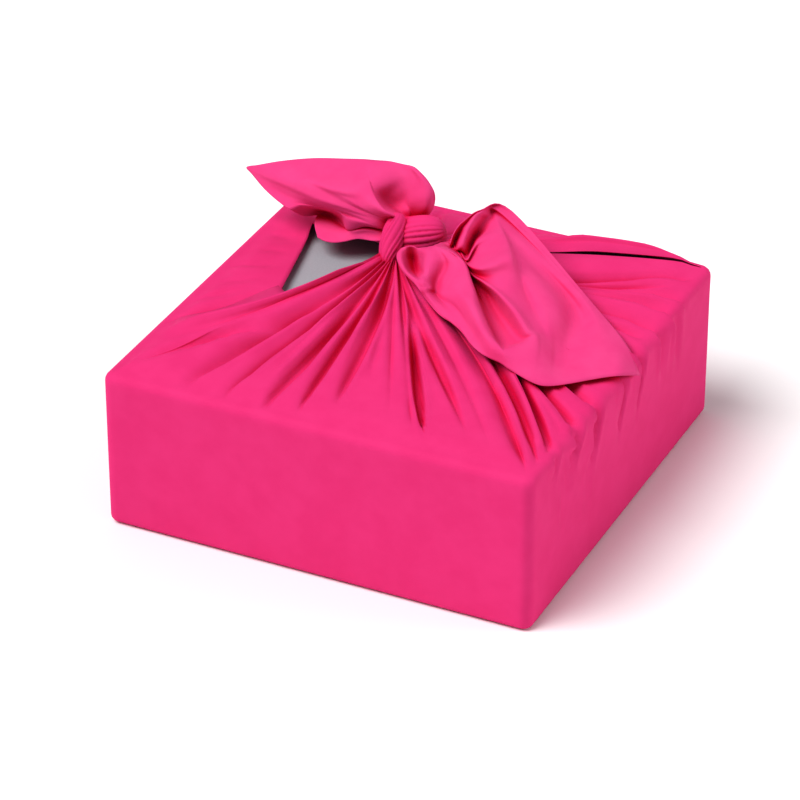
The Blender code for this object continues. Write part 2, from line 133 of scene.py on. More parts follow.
# Troughs of the folds. Along is where a trough meets the rim, lean is how far round it starts at the
# neck and slant how far it drifts for each mm down the side. It sets in at start, a part of the way
# from the neck to the rim, and dies away short of the rim, or past it where short is negative, over
# fade. Positive skew makes its clockwise wall steep and the other gentle, and negative skew the
# reverse.
FOLDS = (
    # edge, along, lean, slant, depth, half width, start, short, fade, skew
    ("front", -150.0, 158.0, 0.0, 5.5, 9.0, 0.46, 16.0, 50.0, -0.4),
    ("front", -98.0, 0.0, 0.0, 9.5, 6.4, 0.02, 4.0, 56.0, -0.35),
    ("front", -84.0, 4.0, 0.0, 1.4, 4.0, 0.10, 30.0, 60.0, 0.0),
    ("front", -68.0, 3.0, 0.0, 7.0, 3.0, 0.00, 0.5, 60.0, -0.9),
    ("front", -54.0, 0.0, 0.0, 2.4, 4.0, 0.05, 34.0, 50.0, -0.4),
    ("front", -38.0, 0.0, 0.0, 10.0, 5.2, 0.00, 1.0, 50.0, 0.0),
    ("front", -15.0, 6.0, 0.0, 8.0, 3.4, 0.00, 6.0, 60.0, -0.2),
    ("front", 8.0, 27.0, 0.0, 7.5, 4.4, 0.00, 22.0, 70.0, -0.4),
    ("front", 29.0, 10.0, 0.0, 1.8, 4.0, 0.10, 60.0, 50.0, 0.0),
    ("front", 50.0, 0.0, 0.0, 2.2, 2.4, 0.00, 26.0, 60.0, 0.0),
    ("front", 68.0, 8.0, 0.0, 3.0, 2.4, 0.00, 18.0, 50.0, 0.0),
    ("front", 76.0, 20.0, 0.0, 13.0, 3.0, 0.36, 20.0, 34.0, 0.0),
    ("front", 110.0, -24.0, 0.0, 5.0, 2.8, 0.00, 30.0, 60.0, -0.4),
    ("front", 124.0, -10.0, 0.0, 2.2, 3.0, 0.15, 28.0, 60.0, 0.0),
    ("front", 147.0, 10.0, 0.0, 8.0, 4.0, 0.12, 6.0, 50.0, -0.8),
    ("right", -130.0, -4.0, 0.0, 8.0, 3.6, 0.20, 2.0, 40.0, -0.6),
    ("right", -112.0, 14.0, -0.30, 10.0, 3.4, 0.30, -30.0, 40.0, 0.2),
    ("right", -79.0, 8.0, -0.55, 9.0, 3.4, 0.25, -52.0, 40.0, 0.2),
    ("right", -50.0, 0.0, -0.25, 8.5, 3.6, 0.30, -74.0, 44.0, 0.1),
    ("right", -30.0, 0.0, -0.10, 2.6, 5.0, 0.40, 8.0, 40.0, 0.0),
    ("right", -10.0, 0.0, -0.12, 9.0, 3.2, 0.45, -44.0, 34.0, 0.2),
    ("right", 20.0, 0.0, -0.10, 9.0, 3.2, 0.45, -40.0, 30.0, 0.2),
    ("right", 36.0, -8.0, 0.0, 5.0, 3.4, 0.40, -2.0, 26.0, 0.6),
    ("right", 51.0, -8.0, 0.18, 9.0, 3.8, 0.36, -40.0, 28.0, 0.6),
    ("right", 76.0, -10.0, 0.25, 10.0, 4.2, 0.28, -46.0, 30.0, 0.7),
    ("right", 97.0, -12.0, 0.35, 9.0, 4.0, 0.22, -12.0, 28.0, 0.7),
    ("right", 112.0, -4.0, 0.0, 5.0, 3.0, 0.35, 6.0, 34.0, 0.5),
    ("right", 127.0, -6.0, 0.0, 8.0, 4.2, 0.15, 0.0, 36.0, 0.7),
    ("back", 112.0, 0.0, 0.0, 3.4, 8.0, 0.20, 10.0, 60.0, 0.2),
    ("back", 92.0, 0.0, 0.0, 2.6, 5.0, 0.10, 24.0, 60.0, 0.0),
    ("back", 70.0, 0.0, 0.0, 6.0, 5.0, 0.05, 4.0, 70.0, 0.4),
    ("back", 34.0, 0.0, 0.0, 7.0, 5.0, 0.02, 2.0, 70.0, -0.4),
    ("back", 14.0, 0.0, 0.0, 2.4, 4.0, 0.05, 26.0, 60.0, 0.0),
    ("back", -6.0, 0.0, 0.0, 7.0, 4.6, 0.02, 4.0, 70.0, 0.4),
    ("back", -44.0, 0.0, 0.0, 7.0, 5.0, 0.02, 0.0, 70.0, -0.3),
    ("back", -66.0, 0.0, 0.0, 2.6, 4.0, 0.10, 20.0, 60.0, 0.0),
    ("back", -90.0, 0.0, 0.0, 6.0, 5.4, 0.02, 8.0, 80.0, 0.4),
    ("back", -132.0, 0.0, 0.0, 3.4, 8.0, 0.05, 26.0, 80.0, 0.0),
    ("left", 112.0, 0.0, 0.0, 4.2, 7.0, 0.05, 6.0, 70.0, 0.3),
    ("left", 60.0, 0.0, 0.0, 2.6, 8.0, 0.74, 6.0, 40.0, 0.3),
    ("left", 34.0, 0.0, 0.0, 1.8, 6.0, 0.74, 12.0, 40.0, 0.0),
    ("left", 8.0, 0.0, 0.0, 2.8, 8.0, 0.74, 4.0, 40.0, -0.3),
    ("left", -22.0, 0.0, 0.0, 1.8, 7.0, 0.74, 10.0, 40.0, 0.0),
    ("left", -46.0, 0.0, 0.0, 2.4, 8.0, 0.74, 6.0, 40.0, 0.3),
    ("left", -76.0, 0.0, 0.0, 5.0, 5.0, 0.60, 2.0, 30.0, -0.7),
)

# Shape of a fold: how much skew narrows its steep side and widens its gentle one, the power of its
# walls, how much of that skew takes from the gentle side, which makes it one long slope from a sharp
# bottom, and the ridges beside the fold, in half widths and parts of its depth
STEEP_NARROWS, GENTLE_WIDENS = 0.3, 1.3
WALL_POWER, GENTLE_LOSS = 2.4, 1.35
RIDGE_AT, RIDGE_WIDE = 1.9, 0.9
STEEP_RIDGE, GENTLE_RIDGE = 0.26, 0.12

# How a fold sets in and dies away: the least share of its depth by the neck, for folds that set in
# before NECK_FOLD, half the part of the way over which it sets in, the power by which it dies away,
# and the share of its width that is left there
NECK_DEPTH, NECK_FOLD = 0.3, 0.25
START_EASE, TAPER_POWER, TAPER_WIDTH = 0.12, 0.6, 0.30

# Widest half width that a fold has room for where the cloth is as wide as the rim. The cloth's width
# for each mm of rim is measured CORNER_PASS to either side, and taken as LEAST_SPREAD or more
FOLD_ROOM = 13.0
CORNER_PASS, LEAST_SPREAD = 14.0, 0.05

# Unevenness along each fold, sideways in millimetres and in parts of its depth: size, waves from the
# neck to the rim in radians, and the step in phase from one fold to the next
WANDER, WANDER_WAVES, WANDER_STEP = 1.2, 7.0, 2.3
UNEVEN, UNEVEN_WAVES, UNEVEN_STEP = 0.12, 11.0, 1.7

# Rolls that stand up from the cloth along its free edges, each centred on a course from the neck
ROLLS = (
    # edge, along, height, half width, from, to (parts of the way from the neck to the rim)
    ("back", 128.0, 7.0, 20.0, 0.45, 1.06),
    ("left", -91.0, 6.5, 10.0, 0.05, 1.00),
    ("right", 138.0, 1.5, 7.0, 0.30, 0.95),
)

# Part of the way over which a roll sets in and ends, and how far down the side it has died away
ROLL_EASE, ROLL_DROP = 0.2, 12.0

# Fine uneven pleats where the cloth is drawn into the knot. They set in over PLEATS_EASE of the way
# from PLEATS_START, just inside the neck, and have died away at PLEATS_REACH
PLEATS = (
    # waves round the rim, height, phase
    (41, 0.9, 0.4),
    (67, 0.6, 2.1),
    (29, 0.5, 4.4),
)
PLEATS_START, PLEATS_EASE, PLEATS_REACH = -0.02, 0.05, 0.30

# Knot: swollen pleated lobes whose pleats run from one pole to the other, twisted on the way
LOBES = (
    # centre over the lid, half length, half height, half depth, first pole, pleats, pleat depth, twist
    ((-40.0, 51.0, 22.5), 20.5, 12.2, 8.4, (0.08, -0.62, -0.78), 17, 1.5, 0.9),
    ((-27.0, 65.0, 23.5), 18.5, 13.5, 14.5, (-0.86, -0.48, -0.20), 19, 1.6, 0.15),
    ((-33.0, 72.0, 21.0), 19.0, 12.0, 11.0, (-0.95, 0.10, -0.20), 13, 1.2, 0.3),
)

# Shape of a lobe: the angle cut off at each pole, the power that makes it plump, and the power and
# level that make its pleats round, with sharp creases between. Waves round it make the pleats' widths
# uneven, and one more their heights
POLE_GAP, PLUMP_POWER = 0.02, 0.8
PLEAT_POWER, PLEAT_LEVEL = 0.7, 0.6
PLEAT_WIDTHS = (
    # size, waves, phase
    (0.8, 2, 0.0),
    (0.5, 5, 1.0),
)
PLEAT_HEIGHT, PLEAT_HEIGHT_WAVES = 0.2, 3

# Camera of the photograph: its place and aim in the part's frame, how far it sees, and the width of
# its square view in pixels
CAMERA_AT = (0.97809, -2.07465, 1.43629)
CAMERA_YAW, CAMERA_PITCH = math.radians(-25.4815), math.radians(31.139)
CAMERA_LENS, CAMERA_SENSOR = 180.0, 36.0
CAMERA_REACH = 50.0
VIEW_WIDTH = 800

# Height over the lid of the cloth without its folds, for what is laid on it: TENT_RIM at the rim,
# TENT_LIFT from TENT_EASE of the way in, and the neck's rise by TENT_POWER. The height is found in
# LAID_ROUNDS rounds from LAID_START
TENT_RIM, TENT_LIFT, TENT_EASE, TENT_POWER = 4.5, 5.2, 0.25, 1.1
LAID_START, LAID_ROUNDS = 5.0, 12

# Courses of the free ends' folds, each from the knot to the hem and named after its fold. A point is
# where the camera sees it, across and down its view from the top left in pixels, and then its height
# in millimetres over the lid, or, where LAID, over the cloth below it
LAID = "laid"

# Free end that falls to the right over the lid's edge, from one hem to the other
RIGHT_END = {
    # fold: across, down, height
    "left_hem": (
        (400, 249, 23), (396.8, 255, 24), (398, 262.5, 24.5), (404, 273, 24.5), (414.5, 283.3, 25),
        (419.5, 290, 24), (425, 298, 3.5, LAID), (438, 313.5, 1.5, LAID), (451, 322.3, 1.2, LAID),
        (463, 328.8, 1.2, LAID),
    ),
    "rim": (
        (402, 248, 25), (400.5, 253, 26), (401.5, 261, 26.5), (407, 272, 26.5), (416.5, 281, 27),
        (421.5, 289, 25), (426.5, 297, 5, LAID), (439.5, 312.5, 2.5, LAID), (452.5, 323.5, 1.8, LAID),
        (464, 331.5, 1.4, LAID),
    ),
    "pocket_left": (
        (406, 246.5, 27), (405.5, 252, 24), (407, 260, 21), (411, 271, 19), (418.5, 280.5, 27.5),
        (423, 288.5, 25.5), (428, 296.5, 6, LAID), (441, 312, 3.2, LAID), (454, 324.5, 2.4, LAID),
        (466, 335, 1.5, LAID),
    ),
    "pocket_floor": (
        (412, 246, 27.5), (412.5, 252, 22), (413.5, 261, 15), (415.5, 272.5, 14), (420.5, 279.8, 28),
        (425, 288, 26), (430, 296, 6, LAID), (443, 311.5, 3.8, LAID), (456, 325.5, 3, LAID),
        (468, 339, 1.6, LAID),
    ),
    "pocket_right": (
        (418, 248, 27.5), (419, 252, 26), (420, 260.5, 22), (421, 270.5, 21), (423.5, 277.8, 29),
        (427.5, 287.5, 26), (432, 295.5, 5.5, LAID), (445.5, 311, 4.5, LAID), (458.5, 326.5, 3.6, LAID),
        (470, 343, 1.7, LAID),
    ),
    "flank": (
        (424, 247.5, 29), (427, 251, 33), (428.5, 257, 33), (427, 267, 31), (428, 279, 28),
        (431, 288, 25), (434.5, 295, 4.5, LAID), (448, 310.5, 5, LAID), (461, 328, 4.2, LAID),
        (472.5, 346, 1.8, LAID),
    ),
    "soft_valley": (
        (428, 247, 30), (435, 249, 35), (443, 258, 33), (443.5, 268, 28), (437, 281, 23),
        (436, 289.5, 21), (438, 296, 4, LAID), (452, 310, 6, LAID), (464.5, 329.5, 4.8, LAID),
        (475.5, 349, 2, LAID),
    ),
    "valley_side": (
        (430, 246.5, 30), (438, 247.5, 36), (448, 258, 35), (450, 268, 31), (446, 281, 27),
        (446, 290, 25), (447, 297, 9, LAID), (458, 310, 8.5, LAID), (469, 331.5, 6, LAID),
        (479, 352, 2, LAID),
    ),
    "lobe": (
        (433, 246, 30), (442, 248.5, 36.5), (453, 258, 36), (457, 268, 34), (455, 280, 32),
        (456, 290, 30.5), (458, 299, 14.5, LAID), (467, 318, 11, LAID), (477, 338, 7, LAID),
        (484, 355.5, 2, LAID),
    ),
    "crest_left": (
        (435, 245, 29), (446, 249.5, 36), (458, 258.5, 36), (463, 267, 35.5), (463, 279, 34.5),
        (466, 291, 33), (470, 303, 20, LAID), (480, 327, 15, LAID), (489, 345, 10, LAID),
        (491, 359, 2, LAID),
    ),
    "crest": (
        (438, 244, 28), (450, 251, 36), (461.5, 259.5, 36), (466.5, 267.5, 35.5), (469.5, 278, 34.5),
        (473.5, 290, 32.5), (478, 306, 30), (490, 334, 23.5), (501, 350.5, 20), (500, 363, 2.2, LAID),
    ),
    "pocket_wall": (
        (440, 243, 27), (453, 251, 31), (464, 261.5, 31), (468.5, 269.5, 28), (471.5, 279, 25),
        (477, 292, 20), (484, 309, 5, LAID), (499, 343, 4, LAID), (505, 351.5, 19.5),
        (507, 368, 2, LAID),
    ),
    "pocket_deep": (
        (442, 242.5, 26), (455, 251.5, 29), (465.5, 263, 27), (469, 271.5, 24), (474, 281.5, 22),
        (482, 293, 6, LAID), (491, 310, 3, LAID), (509, 342, 2.5, LAID), (515, 348.5, 19.5),
        (518, 375, 2, LAID),
    ),
    "pocket_far": (
        (444, 242, 26), (457, 252, 28.5), (466.5, 265, 27), (471, 275, 25), (481, 284, 25),
        (490, 294.5, 20), (500, 311, 5, LAID), (519, 338.5, 4.5, LAID), (526, 344.5, 20),
        (525, 379, 2, LAID),
    ),
    "inner_crest": (
        (446, 242, 26), (458, 252.5, 29), (467, 267, 28), (473, 275.5, 30), (484, 282.5, 31),
        (496, 291.5, 31), (514, 311, 29), (527, 331, 24), (536, 340.5, 20.5), (531, 382, 2, LAID),
    ),
    "slit": (
        (447, 241.5, 25), (459, 252.5, 28), (467.5, 266.5, 26), (474, 274, 27), (486, 280, 28),
        (500, 288, 29.5), (519, 306, 25), (533, 327, 20.5), (541, 341, 18), (536, 384, 2, LAID),
    ),
    "under_peak": (
        (448, 241, 25), (460, 252.5, 28), (468, 266, 29.5), (477, 271.5, 31), (491, 273, 33),
        (509, 274, 33.5), (525, 295, 23), (540, 322, 18.5), (546, 344, 15), (541, 385.5, 2, LAID),
    ),
    "peak": (
        (449, 240.5, 25), (460.5, 252, 28), (468, 265, 31), (478, 267.5, 34), (492, 264, 38),
        (510, 258.5, 41), (521, 273, 30), (546, 312, 21), (551, 347, 12), (547, 386, 2, LAID),
    ),
    "facet_low": (
        (449.5, 240, 25), (460, 251, 27), (467.5, 263, 29), (475, 258, 31), (488, 253.5, 35),
        (507.5, 249, 40), (518, 259, 32), (556, 306, 20), (556, 350, 9), (553, 385.8, 2, LAID),
    ),
    "facet_high": (
        (450, 239.5, 26), (459.5, 250, 27), (467, 261.5, 29), (472.5, 253.5, 30), (482.5, 246, 34),
        (504.5, 240, 39.5), (515, 249, 32.5), (566, 306, 14), (566, 352, 6.5), (560, 385, 2, LAID),
    ),
    "flap": (
        (450, 239.5, 26), (459, 249, 28), (466, 260, 31), (473, 249, 33), (480, 239.5, 36),
        (500, 231.5, 39), (511, 239, 34), (576, 306, 13), (577, 352, 7.5), (571, 383.3, 2, LAID),
    ),
    "gather": (
        (450.5, 239, 26), (458.5, 248, 26), (467, 256, 26), (471.5, 246, 26), (477, 236.5, 28),
        (494, 225, 37), (507.5, 229, 35.5), (583, 306, 15.5), (588, 350, 10), (582, 381.3, 2, LAID),
    ),
    "hollow": (
        (451, 238.5, 26), (457.5, 248.5, 28), (463.5, 250, 31), (467.5, 240, 34), (474, 230, 34),
        (489, 217.5, 36), (505, 219, 35.5), (587, 305.5, 17), (598, 348, 11), (595, 379, 2, LAID),
    ),
    "strap_two": (
        (451.5, 238, 27), (456, 250, 30), (460, 243.5, 35), (464.5, 235, 38.5), (469, 226.5, 41.5),
        (480, 213.5, 43), (503, 214.5, 38), (589, 304.5, 17), (608, 347, 10.5), (608, 376.8, 2, LAID),
    ),
    "strap_valley": (
        (452, 237, 27), (453.5, 246.8, 26), (456.5, 239, 29), (460.5, 231.5, 34), (465, 225, 38),
        (480.5, 211.5, 43), (507, 212.5, 38.5), (590.5, 303.5, 16.5), (617, 346, 9),
        (622, 375.5, 1.5, LAID),
    ),
    "strap_one": (
        (452, 237, 27), (449.6, 246, 30), (452.5, 236, 36), (457, 228, 39), (463, 221.5, 41.5),
        (481, 209.8, 44), (512, 211, 40), (592, 303, 16), (627, 345.5, 6), (640, 375.5, -6),
    ),
}

# Free end that stands up to the left, from its loop by the knot round to the fold below its tip
LEFT_END = {
    # fold: across, down, height
    "loop_edge": (
        (424, 219, 26), (431, 212, 32), (434.5, 203, 40), (434.5, 193, 49), (428, 181, 56),
        (421, 173, 60), (415, 167.3, 62),
    ),
    "loop_crest": (
        (421, 219, 27), (426, 210, 38), (428.5, 199, 47), (427, 187, 54), (420.5, 177, 59),
        (415, 170.5, 61.5), (411, 166, 62),
    ),
    "loop_inner": (
        (415, 219, 27), (413, 211, 34), (411.5, 201, 42), (414, 189, 50), (415, 178, 56.5),
        (410, 170, 60), (405, 164.5, 62),
    ),
    "dark_valley": (
        (411, 219, 28), (408, 211, 34), (404, 201, 39), (402, 190, 47), (401, 178, 54.5),
        (397, 169, 58.5), (391, 161.5, 61),
    ),
    "hollow": (
        (407, 219, 29), (399, 212, 33), (391, 205, 36), (385, 196.5, 42), (382, 187, 50.5),
        (380, 175, 56.5), (378, 160.5, 60.5),
    ),
    "funnel_wall": (
        (405, 219, 30), (396, 214, 37), (385, 208.5, 41), (377, 199, 46), (372, 188, 51.5),
        (371, 175, 56), (371, 159.9, 60),
    ),
    "funnel_crest": (
        (403, 219, 31), (392.5, 215.5, 42), (381.5, 208.5, 47), (373.5, 197, 50.5), (368.5, 185, 53.5),
        (366, 172, 55.5), (363.5, 159.3, 59),
    ),
    "funnel_left": (
        (401, 220, 30.5), (386, 216.5, 39), (371, 210, 42.5), (357, 199, 46.5), (348, 189.5, 50.5),
        (347, 174, 52), (346, 158.8, 57.5),
    ),
    "ridge": (
        (399, 221, 29.5), (383, 217, 37.5), (364, 209, 41.5), (344, 197, 45.5), (326, 186.5, 48.5),
        (318, 173, 49), (314, 158.3, 54),
    ),
    "upper_field": (
        (398, 222, 29), (381, 217.5, 36.5), (359, 208.5, 40), (336, 197.5, 43), (312, 184, 46),
        (294, 172, 46.5), (282, 161, 49.5),
    ),
    "near_tip": (
        (396.5, 223.5, 28.5), (379, 218, 36), (354, 208.8, 39), (328, 198.5, 41), (301, 185.5, 43),
        (276, 173.5, 42.5), (259, 164.8, 42),
    ),
    "tip": (
        (395, 225, 28), (376.5, 218.8, 35.2), (349, 209.3, 37.8), (321, 199.8, 39), (293, 187.8, 39.5),
        (267, 176.5, 38), (246.8, 167, 35.5),
    ),
    "under_tip": (
        (394, 226.5, 28), (374, 219.7, 34.5), (346, 210, 36), (317, 201, 36.5), (291, 190.5, 36),
        (270, 181.5, 35), (252.5, 174.5, 33),
    ),
    "lower_hem": (
        (392, 228, 27.5), (371, 220.8, 33.5), (343, 211, 34), (316, 203.5, 33), (296, 197.5, 32),
        (280, 193, 30), (265.5, 190, 28),
    ),
    "hem_2": (
        (390, 229, 27), (369, 222.5, 32), (343, 213, 31), (321, 206.5, 30), (303, 203.5, 29),
        (290, 203.5, 27), (281, 203.6, 25),
    ),
    "flap_crest": (
        (389, 230, 26.5), (368, 224.5, 30), (346.5, 218.5, 29), (337.5, 210.5, 28.5), (320, 207.3, 28),
        (304, 205.8, 27), (290.5, 209.5, 24.5),
    ),
    "underside": (
        (388, 231, 25), (367, 226.3, 25), (348, 229, 20), (342, 221, 17.5), (331, 213.5, 15.5),
        (317, 211, 15), (304, 216, 14.5),
    ),
    "fold_line": (
        (387, 231.5, 24), (367, 227, 23), (349.5, 230, 18), (343, 226, 15), (333, 219, 13),
        (323, 215.5, 12), (316.5, 215, 12),
    ),
    "lobe_top": (
        (387, 232.5, 24), (367, 229.5, 23.5), (352, 231, 19), (343, 229, 16), (333, 224, 14.5),
        (324, 220, 13.5), (315.5, 219, 13),
    ),
    "lobe_mid": (
        (386, 236, 23), (370, 233.5, 21), (354, 234.5, 17), (342.5, 234.5, 15), (332.5, 232, 14),
        (323.5, 228, 13.5), (314.6, 226, 13),
    ),
    "lobe_edge": (
        (385, 240.5, 21), (373, 241, 18.5), (358, 239, 15), (345, 241.5, 13), (334, 242.6, 12),
        (324.5, 241, 11.5), (317.5, 237.5, 11),
    ),
}

# Fineness of the meshes. The body's columns are COLUMN_SPACING apart round the rim, and FOLD_SPACING
# within FOLD_MARGIN half widths of a fold or CORNER_MARGIN of a corner, worked out in steps of
# RIM_STEP. SIDE_DROPS are the rows' depths below the top edge, and UNDERSIDE_RINGS scale the foot's
COLUMN_SPACING, FOLD_SPACING = 6.0, 1.7
FOLD_MARGIN, CORNER_MARGIN, RIM_STEP = 1.25, 9.0, 0.25
INNER_ROWS, OUTER_ROWS = 20, 15
EDGE_ROWS, FOOT_ROWS = 5, 4
SIDE_DROPS = (3.0, 7.0, 12.0, 18.0, 26.0, 36.0, 48.0, 64.0)
UNDERSIDE_RINGS = (0.9, 0.5, 0.04)
END_GAP_STEPS, END_RUN_STEPS = 5, 7
LOBE_RINGS, LOBE_SIDES = 36, 150

# Colours of the cloth: stretched over the card or bunched, and a lighter copy where it hangs free in a
# single layer, painted light for the brighter free ends. In narrow creases they are multiplied by the
# tint, painted shade
WRAPPED_LOW, WRAPPED_HIGH = (0.735, 0.048, 0.218, 1.0), (0.755, 0.054, 0.232, 1.0)
LIT_FREE_LOW, LIT_FREE_HIGH = (0.765, 0.074, 0.262, 1.0), (0.785, 0.086, 0.280, 1.0)
# Painted shade: the tint that darkens the cloth's colour in narrow creases
CREASE_SHADE_TINT = (0.86, 0.04, 0.30, 1.0)
SHEEN_TINT = (1.0, 0.35, 0.60, 1.0)
CARD_LOW, CARD_HIGH = (0.36, 0.37, 0.40, 1.0), (0.46, 0.47, 0.50, 1.0)
WHITE = (1.0, 1.0, 1.0, 1.0)
FLOOR_WHITE = (0.93, 0.93, 0.93, 1.0)

# Colour sockets of Blender's Mix node, by number because other kinds share their names
MIX_FACTOR, MIX_FIRST, MIX_SECOND, MIX_RESULT = 0, 6, 7, 2

# The floor, a little under the parcel
FLOOR_HALF, FLOOR_DROP = 6.0, 0.0005


def smooth(value):
    """Eases 0..1 and holds the ends."""
    value = np.clip(value, 0.0, 1.0)
    return value * value * (3 - 2 * value)


def mix(first, second, part):
    """The value a part of the way from first to second."""
    return first + (second - first) * part


def rim_place(edge, along):
    """Distance round the parcel's rim, anticlockwise from its front left corner."""
    run = along if edge in ("front", "right") else -along
    return ("front", "right", "back", "left").index(edge) * SIDE + HALF + run


def rim_gap(place, other):
    """Signed shortest distance round the rim from other to place."""
    return (place - other + GIRTH / 2) % GIRTH - GIRTH / 2


def outline(place, inset):
    """Plan points on the parcel's square outline with round corners, drawn in by inset."""
    edge, run = np.divmod(place % GIRTH, SIDE)
    edge, run = edge.astype(int), run - HALF
    x = np.choose(edge, (run, HALF, -run, -HALF))
    y = np.choose(edge, (-HALF, run, HALF, -run))
    core = HALF - UPRIGHT_EDGE
    core_x, core_y = np.clip(x, -core, core), np.clip(y, -core, core)
    scale = (UPRIGHT_EDGE - inset) / np.hypot(x - core_x, y - core_y)
    return core_x + (x - core_x) * scale, core_y + (y - core_y) * scale


def neck_points(place):
    """Plan points on the gathered neck for places on the rim."""
    stops = [rim_place(edge, along) for edge, along, _ in NECK_TURNS]
    turns = [turn for _, _, turn in NECK_TURNS]
    turn = np.radians(np.interp(place, stops + [stops[0] + GIRTH], turns + [turns[0] + 360.0]))
    return NECK_X + NECK_WIDE * np.cos(turn), NECK_Y + NECK_DEEP * np.sin(turn)


def hem_parts(place):
    """Where the left opening's hem crosses each run from the neck to the rim, 0..1."""
    start_x, start_y = neck_points(place)
    end_x, end_y = outline(place, TOP_EDGE)
    run_x, run_y = end_x - start_x, end_y - start_y
    found = np.full(place.shape, MIDWAY)
    for near, far in zip(LEFT_HEM, LEFT_HEM[1:]):
        side_x, side_y = far[0] - near[0], far[1] - near[1]
        cross = run_x * side_y - run_y * side_x
        out_x, out_y = near[0] - start_x, near[1] - start_y
        part = (out_x * side_y - out_y * side_x) / cross
        along = (out_x * run_y - out_y * run_x) / cross
        on_stretch = (along > -HEM_OVERRUN) & (along < 1 + HEM_OVERRUN)
        found = np.where(on_stretch & (part > 0) & (part < 1), part, found)
    return found


def midways(place):
    """Part of the way to the rim at which the hem line's ring lies, eased on either side of it."""
    first, last = rim_place(*LEFT_REAR), rim_place(*LEFT_FRONT)
    middle, span = (first + last) / 2, (last - first) / 2
    gap = rim_gap(place, middle)
    ends = hem_parts(np.array([first + HEM_INSET, last - HEM_INSET]))
    beside = mix(np.where(gap > 0, ends[1], ends[0]), MIDWAY, smooth((abs(gap) - span) / HEM_EASE))
    return np.where(abs(gap) <= span, hem_parts(place), beside)


def climbs(place):
    """How much of the neck's rise the cloth takes: none where a hem lies on the lid."""
    inside = np.minimum(rim_gap(place, rim_place(*LEFT_REAR)), rim_gap(rim_place(*LEFT_FRONT), place))
    return 1 - smooth(inside / CLIMB_EASE)


def sunk(place, part):
    """Share of the climb left under the free ends, by the knot."""
    inside = np.minimum(rim_gap(place, rim_place(*SINK_FROM)), rim_gap(rim_place(*SINK_TO), place))
    return 1 - SINK * smooth(inside / SINK_EASE) * (1 - smooth((part - SINK_START) / SINK_REACH))


def squeezed(place):
    """Place on the rim, held still through the round corners, where the columns all but meet."""
    corner = np.round(place / SIDE) * SIDE
    gap = place - corner
    still = np.maximum(abs(gap) - UPRIGHT_EDGE, 0.0) * SIDE / (SIDE - 2 * UPRIGHT_EDGE)
    return corner + np.sign(gap) * still


def bowed(place, part):
    """How far a run of the cloth lies to the left of its straight course."""
    total = np.zeros(np.broadcast(place, part).shape)
    for edge, along, bow, clockwise, anticlockwise in BOWS:
        gap = rim_gap(squeezed(place), squeezed(rim_place(edge, along)))
        reach = np.where(gap < 0, max(clockwise, SAME_PLACE), max(anticlockwise, SAME_PLACE))
        total = total + bow * np.exp(-((gap / reach) ** 2))
    return total * 4 * part * (1 - part)


def rolled(place, part):
    """Height of the rolls along the free edges."""
    total = 0.0
    for edge, along, height, half_width, start, end in ROLLS:
        across = rim_gap(place, rim_place(edge, along)) / half_width
        swell = smooth((part - start) / ROLL_EASE) * smooth((end - part) / ROLL_EASE)
        total = total + height * np.exp(-across * across) * swell
    return total


def travelled(places, x, y):
    """The stops for each ring of points: places round the rim, and distances round the ring."""
    step = np.hypot(np.roll(x, -1, 0) - x, np.roll(y, -1, 0) - y)
    run = np.concatenate((np.zeros((1, x.shape[1])), np.cumsum(step, 0)))
    return np.append(places, GIRTH + places[0]), run


def fold_gap(place, centre, ring):
    """Signed distance of each point from a fold's centre, round the rim or, where given, its ring."""
    if ring is None:
        return rim_gap(place, centre)
    stops, run = ring
    centre = centre % GIRTH
    rows = range(run.shape[1])
    where = np.stack([np.interp(centre[:, row], stops, run[:, row]) for row in rows], axis=1)
    whole = run[-1]
    return (run[:-1] - where + whole / 2) % whole - whole / 2


def fold_profile(across, steep, skew):
    """Depth at a distance across a fold in half widths: 1 at its bottom, below 0 on its ridges."""
    trough = np.exp(-(across ** np.where(steep, WALL_POWER, WALL_POWER - GENTLE_LOSS * abs(skew))))
    ridge = np.exp(-(((across - RIDGE_AT) / RIDGE_WIDE) ** 2))
    return trough - ridge * np.where(steep, STEEP_RIDGE, GENTLE_RIDGE)


def folded(place, part, short_of_rim, spread, ring=None):
    """Height that the folds add.

    spread is the cloth's width for each mm of rim, and ring the distances round it, so that a fold
    keeps its own width.
    """
    total = 0.0
    over = np.maximum(-short_of_rim, 0.0)
    for number, (edge, along, lean, slant, depth, wide, start, short, fade, skew) in enumerate(FOLDS):
        wander = WANDER * np.sin(WANDER_STEP * number + WANDER_WAVES * part)
        centre = rim_place(edge, along) + lean * (1 - part) ** 2 + slant * over + wander * (1 - part)
        across = fold_gap(place, centre, ring)
        steep = across * np.sign(skew) < 0
        side = np.where(steep, 1 - STEEP_NARROWS * abs(skew), 1 + GENTLE_WIDENS * abs(skew))
        taper = np.clip((short_of_rim - short) / fade, 0.0, 1.0) ** TAPER_POWER
        tapered = wide * (TAPER_WIDTH + (1 - TAPER_WIDTH) * taper)
        width = side / np.hypot(1 / tapered, 1 / (FOLD_ROOM * spread))
        least = NECK_DEPTH if start < NECK_FOLD else 0.0
        begin = least + (1 - least) * smooth((part - start + START_EASE) / (2 * START_EASE))
        uneven = 1 + UNEVEN * np.sin(UNEVEN_STEP * number + UNEVEN_WAVES * part)
        crowded = np.minimum(1.0, FOLD_ROOM * spread / wide) ** 0.5
        profile = fold_profile(np.abs(across) / width, steep, skew)
        total = total - depth * taper * begin * uneven * crowded * profile
    return total


def pleated(place, part):
    """Fine pleats by the knot."""
    turn = 2 * math.pi * place / GIRTH
    waves = sum(height * np.sin(count * turn + phase) for count, height, phase in PLEATS)
    return waves * (1 - smooth(part / PLEATS_REACH)) * smooth((part - PLEATS_START) / PLEATS_EASE)


